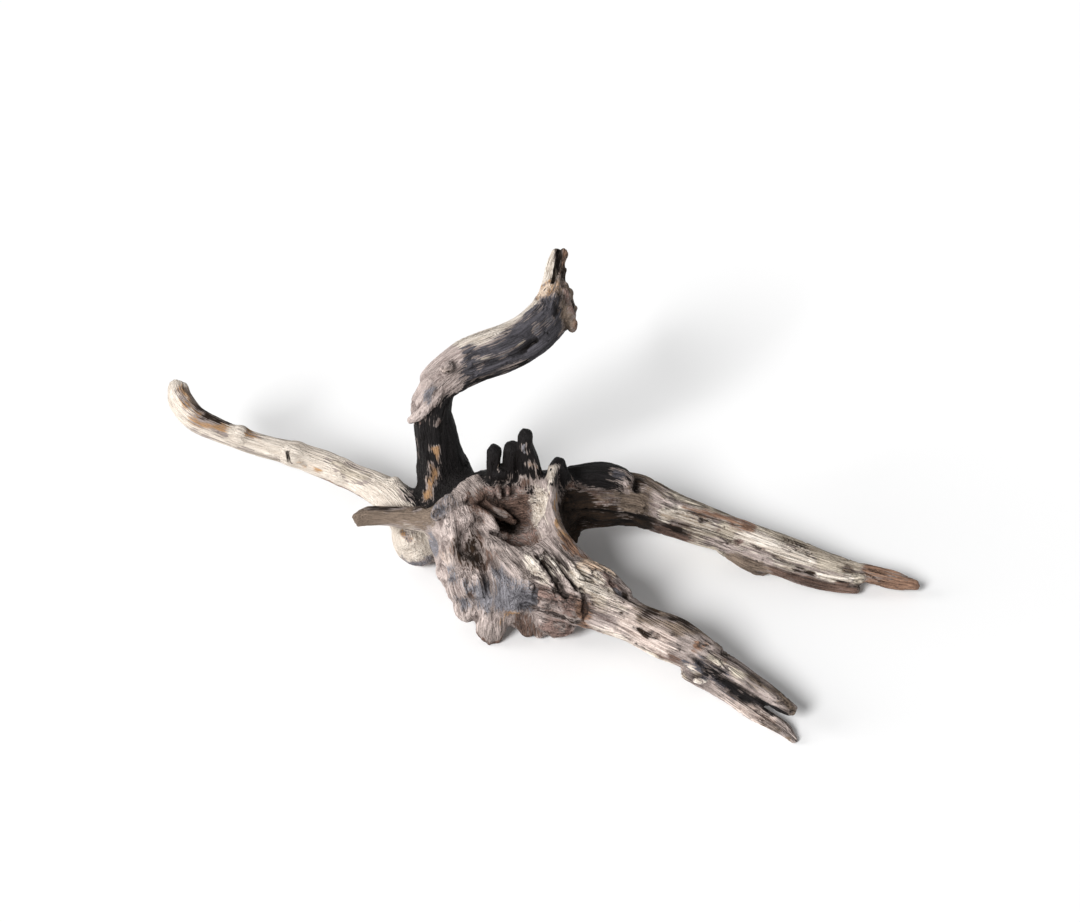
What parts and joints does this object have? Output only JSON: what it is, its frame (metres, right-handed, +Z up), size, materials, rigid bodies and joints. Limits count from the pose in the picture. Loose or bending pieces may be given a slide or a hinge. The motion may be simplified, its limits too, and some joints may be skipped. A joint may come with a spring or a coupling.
{
  "type": "driftwood piece",
  "caption": "Weathered driftwood stump with a curved upper branch, a long side limb and a two-pronged fork, grown as a single piece.",
  "frame": {"origin": "bottom centre of the whole piece's bounding box, on the level surface it stands on", "axes": "+X towards the tips of the two right-hand prongs, +Y to the back, +Z up"},
  "size_m": [0.4238, 0.248, 0.1398],
  "materials": {
    "weathered_wood": "bare sea-worn wood: bleached cream, grey-brown and charred patches, dry and unpolished"
  },
  "bodies": {
    "root": {"driftwood": "weathered_wood"}
  },
  "joints": []
}
